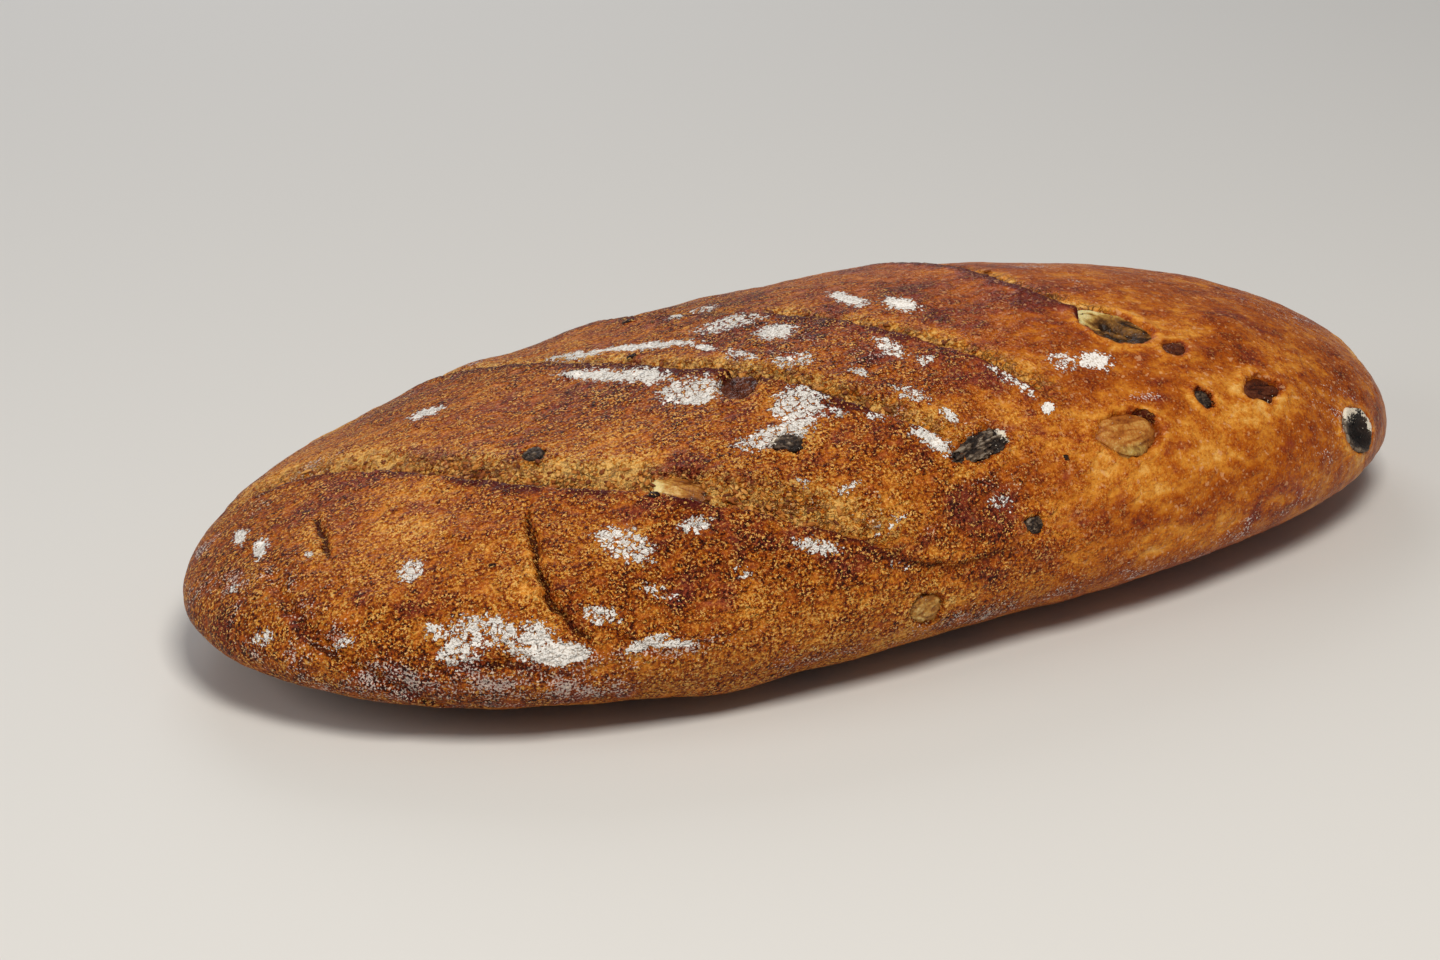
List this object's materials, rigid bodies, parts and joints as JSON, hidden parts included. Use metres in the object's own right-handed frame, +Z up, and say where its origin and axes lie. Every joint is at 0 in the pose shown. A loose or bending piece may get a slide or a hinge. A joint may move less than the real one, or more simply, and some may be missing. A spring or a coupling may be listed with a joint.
{
  "type": "olive bread",
  "caption": "Long hand-shaped olive loaf with diagonal slashes, a browned floury crust and pieces of olive set in it.",
  "frame": {"origin": "middle of the flat base that the loaf lies on", "axes": "+X along the loaf towards its taller, slimmer end, -Y towards the front with the cut olives, +Z up"},
  "size_m": [0.29, 0.1343, 0.0595],
  "materials": {
    "crust": "baked bread crust, browned, dusted with flour",
    "green_olive": "baked green olive, moist",
    "dark_olive": "baked dark olive, partly charred"
  },
  "bodies": {
    "root": {"loaf": "crust", "olive_far_top": "green_olive", "olive_far_top_chip": "dark_olive", "olive_far_side": "green_olive", "olive_far_dark": "dark_olive", "olive_far_small": "dark_olive", "olive_far_tip": "dark_olive", "olive_charred": "dark_olive", "olive_crest": "dark_olive", "olive_slash_small": "dark_olive", "olive_floury": "dark_olive", "olive_pale": "green_olive", "olive_front_small": "dark_olive", "olive_front_low": "green_olive", "olive_back_left": "dark_olive", "olive_back_middle": "green_olive", "olive_back_right": "dark_olive", "olive_back_small": "dark_olive", "olive_back_low": "dark_olive"}
  },
  "joints": []
}
